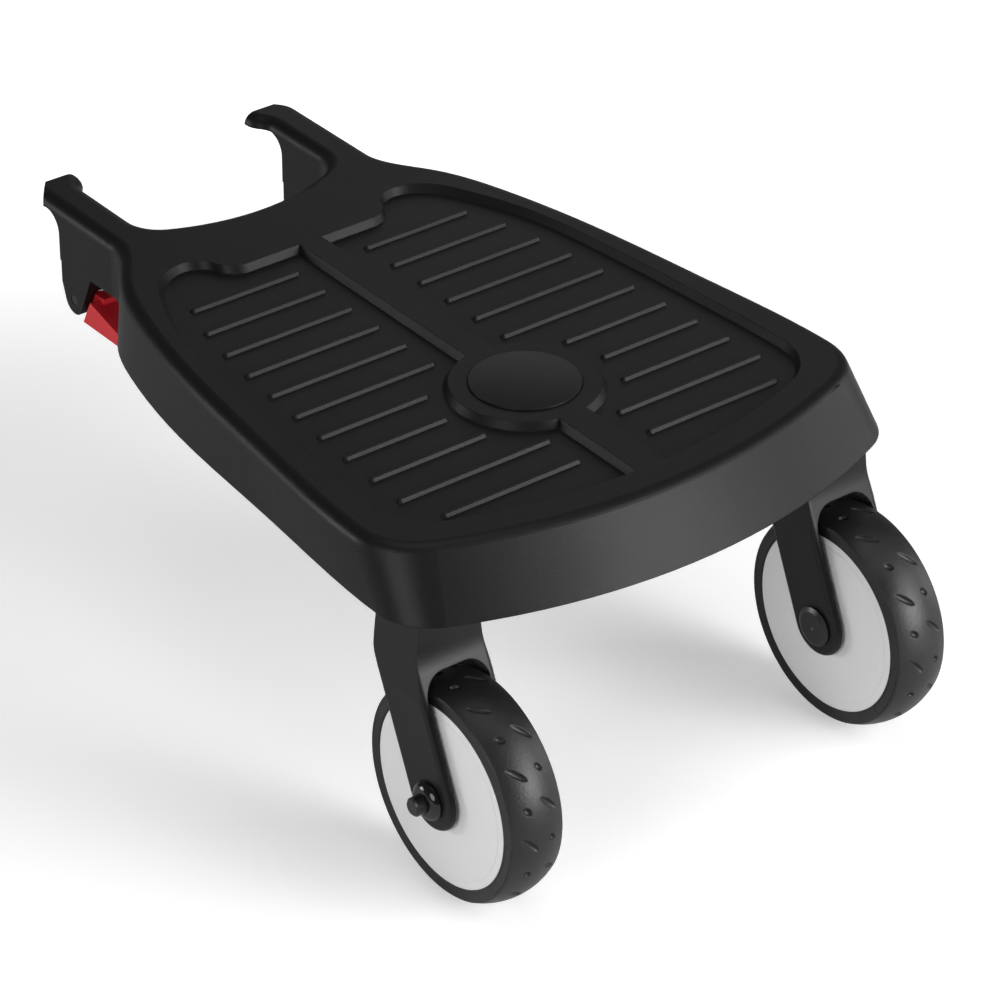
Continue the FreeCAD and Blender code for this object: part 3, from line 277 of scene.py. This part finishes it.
def platedMetal(name, look):
    material, shader, place = startMaterial(name)
    streak = noise(stretched(place, look["brushStretch"]), look["brushScale"], look["brushDetail"])
    cloud = noise(place, look["cloudScale"])
    tone = mixed(streak, cloud, look["toneMix"]).limited()
    colour = tone.blend(shade(look["colour"], look["dark"]), shade(look["colour"], look["bright"]))
    place.put(shader.inputs["Base Color"], colour)
    place.put(shader.inputs["Roughness"], swung(streak, look["roughSwing"], look["roughness"]))
    shader.inputs["Metallic"].default_value = look["metallic"]
    bumped(place, shader, streak, look["brush"], look["brushDepth"], look["edge"])
    return material


finishes = {
    "deck_plastic": mouldedPlastic("deckPlastic", deckLook),
    "badge_plastic": mouldedPlastic("badgePlastic", badgeLook),
    "housing_plastic": mouldedPlastic("housingPlastic", housingLook),
    "fork_plastic": mouldedPlastic("forkPlastic", forkLook),
    "lever_red": mouldedPlastic("leverRed", leverLook),
    "bush_plastic": mouldedPlastic("bushPlastic", bushLook),
    "wheel_white": mouldedPlastic("wheelWhite", discLook),
    "tyre_rubber": foamRubber("tyreRubber", tyreLook, "right_tyre"),
    "plain_steel": platedMetal("plainSteel", steelLook),
    "nut_black": platedMetal("nutBlack", nutLook),
}
axleFinish = platedMetal("axleBlack", axleLook)  # duller than the nuts
for part in subparts:
    mesh = nodes[part["node"]].data
    mesh.materials.clear()
    isAxle = part["node"].endswith("_axle")
    mesh.materials.append(axleFinish if isAxle else finishes[part["material_slot"]])
print("finishes on", len(subparts), "nodes")


# the floor shows as white to the camera and keeps the shadow; its camera-only glow is weaker near
# the object, a painted broad shade around it
floorSetup = {
    "size": 6.0, "segments": 8,
    "colour": (0.86, 0.86, 0.865), "toneScale": 3.0, "dark": 0.99, "bright": 1.01,
    "roughness": 0.9, "specular": 0.1,
    "near": 0.30, "far": 0.80, "noLift": (0.0, 0.0, 0.0, 1.0),
    # the lower near lift paints shade on the floor around the object
    "paintedShadeLift": (0.39, 0.39, 0.39, 1.0), "farLift": (1.0, 1.0, 1.0, 1.0),
}
floorMesh = bmesh.new()
bmesh.ops.create_grid(floorMesh, x_segments=floorSetup["segments"],
                      y_segments=floorSetup["segments"], size=floorSetup["size"] / 2)
floorData = bpy.data.meshes.new("floor")
floorMesh.to_mesh(floorData)
floorMesh.free()
floor = bpy.data.objects.new("floor", floorData)
scene.collection.objects.link(floor)
floorFinish, floorShader, floorPlace = startMaterial("studioFloor")
floorTone = noise(floorPlace, floorSetup["toneScale"]).blend(
    shade(floorSetup["colour"], floorSetup["dark"]),
    shade(floorSetup["colour"], floorSetup["bright"]))
floorPlace.put(floorShader.inputs["Base Color"], floorTone)
floorShader.inputs["Roughness"].default_value = floorSetup["roughness"]
floorShader.inputs["Specular IOR Level"].default_value = floorSetup["specular"]
floorReach = floorPlace.node("ShaderNodeVectorMath", {"operation": "LENGTH"},
                             {0: floorPlace}, "Value")
# camera-only glow grows with the distance from the middle: painted shade near the object, plain
# white far out
floorLiftAndPaintedShade = floorReach.between(floorSetup["near"], floorSetup["far"]).blend(
    floorSetup["paintedShadeLift"], floorSetup["farLift"])
floorGlowAndPaintedShade = cameraRay(floorPlace.tree).blend(floorSetup["noLift"], floorLiftAndPaintedShade)
floorPlace.put(floorShader.inputs["Emission Color"], floorGlowAndPaintedShade)
floorShader.inputs["Emission Strength"].default_value = 1.0
floorData.materials.append(floorFinish)

# the surroundings give little light and show as white to the camera
worldSetup = {"light": (0.10, 0.10, 0.10, 1.0), "shown": (1.0, 1.0, 1.0, 1.0)}
world = bpy.data.worlds.new("studio")
world.use_nodes = True
sky = world.node_tree.nodes["Background"]
skyTone = cameraRay(world.node_tree).blend(worldSetup["light"], worldSetup["shown"])
skyTone.put(sky.inputs["Color"], skyTone)
sky.inputs["Strength"].default_value = 1.0
scene.world = world

# lamps on all sides, aimed at one point over the floor
lampAim = Vector((0.0, 0.0, 0.1))
lamps = {
    "left": {"place": (-1.0, -0.5, 0.5), "size": 0.6, "power": 3.8},
    "rear": {"place": (-1.7, 1.5, 0.35), "size": 0.8, "power": 13.0},
    "front": {"place": (0.75, -2.0, 0.6), "size": 1.0, "power": 31.0},
    "side": {"place": (1.1, -1.6, 1.2), "size": 1.2, "power": 19.0},
    "right": {"place": (1.9, -0.7, 0.5), "size": 0.9, "power": 7.0},
    "sheen": {"place": (1.5, 1.7, 1.2), "size": 1.4, "power": 2.0},
    "top": {"place": (0.0, 0.0, 2.2), "size": 1.6, "power": 7.0},
}
for name, lamp in lamps.items():
    data = bpy.data.lights.new(name, "AREA")
    data.shape = "DISK"
    data.size = lamp["size"]
    data.energy = lamp["power"]
    light = bpy.data.objects.new(name, data)
    light.location = lamp["place"]
    light.visible_camera = False
    aim = lampAim - Vector(lamp["place"])
    light.rotation_euler = aim.to_track_quat("-Z", "Y").to_euler()
    scene.collection.objects.link(light)
print("studio lit")
